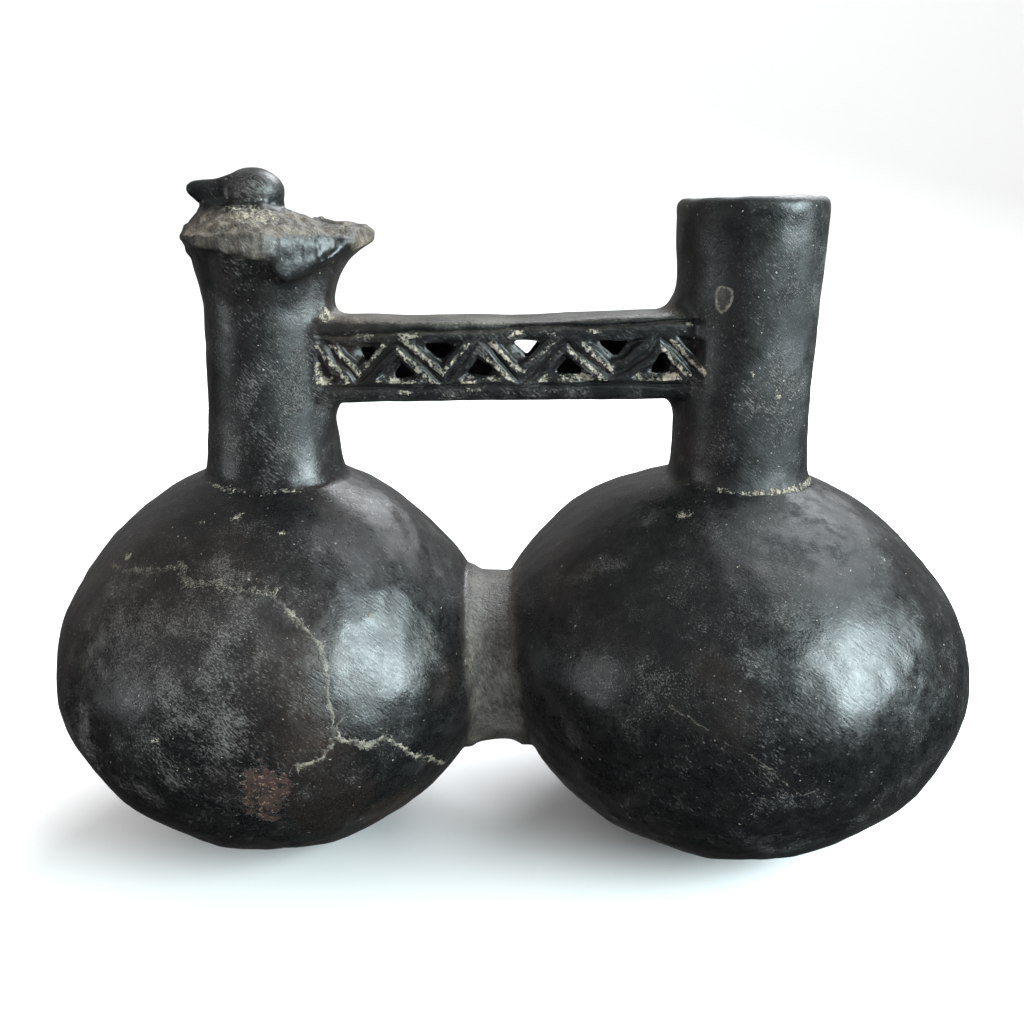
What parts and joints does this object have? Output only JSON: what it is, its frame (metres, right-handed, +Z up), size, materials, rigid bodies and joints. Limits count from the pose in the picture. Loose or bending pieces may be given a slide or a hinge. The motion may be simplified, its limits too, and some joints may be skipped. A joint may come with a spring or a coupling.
{
  "type": "double-chambered bottle with a pierced bridge handle",
  "caption": "Burnished blackware bottle with twin round bodies, a tube between them, a closed neck with a small bird head, an open spout and a pierced bridge handle.",
  "frame": {"origin": "on the surface it stands on, under the middle of the bounding box", "axes": "+X from the closed neck to the open spout, +Y from the front of the bridge handle to its back, +Z up"},
  "size_m": [0.2284, 0.1184, 0.1673],
  "materials": {
    "burnished_blackware": "fired black in a smoky kiln and burnished to a soft blue-grey sheen in diagonal strokes, with brown tinges, dull worn patches, fine cracks and cream deposits in the crevices"
  },
  "bodies": {
    "root": {"vessel": "burnished_blackware"}
  },
  "joints": []
}
